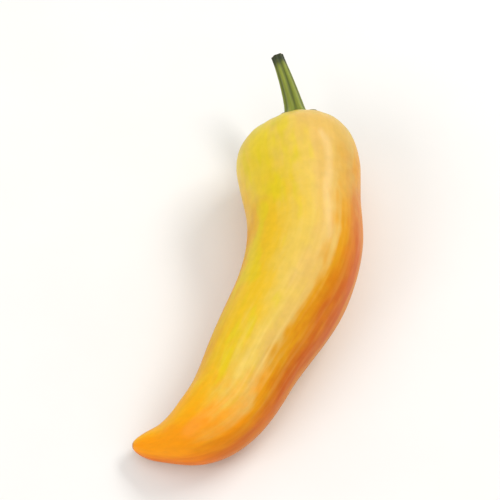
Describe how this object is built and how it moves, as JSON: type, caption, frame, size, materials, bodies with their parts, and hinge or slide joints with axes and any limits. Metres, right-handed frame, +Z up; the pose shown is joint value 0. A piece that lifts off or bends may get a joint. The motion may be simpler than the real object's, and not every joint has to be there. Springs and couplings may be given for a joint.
{
  "type": "hungarian hot wax pepper",
  "caption": "Long tapering waxy yellow pepper, bent to one side and lying on its side, with a ribbed green stem and toothed calyx.",
  "frame": {"origin": "on the surface that the pepper lies on, under the middle of its box", "axes": "+Z up, +Y along the pod towards the stem end, +X to the side that the belly of the pod bulges to; the tip points to -X"},
  "size_m": [0.0717, 0.1402, 0.04],
  "materials": {
    "pod_skin": "smooth waxy skin with a soft gloss, greenish yellow on one side, cream on the ridge and orange on the other side and the tip",
    "stem": "satin olive green, ribbed lengthwise, with a darker dried cut end"
  },
  "bodies": {
    "root": {"pod": "pod_skin", "stem_and_calyx": "stem"}
  },
  "joints": []
}
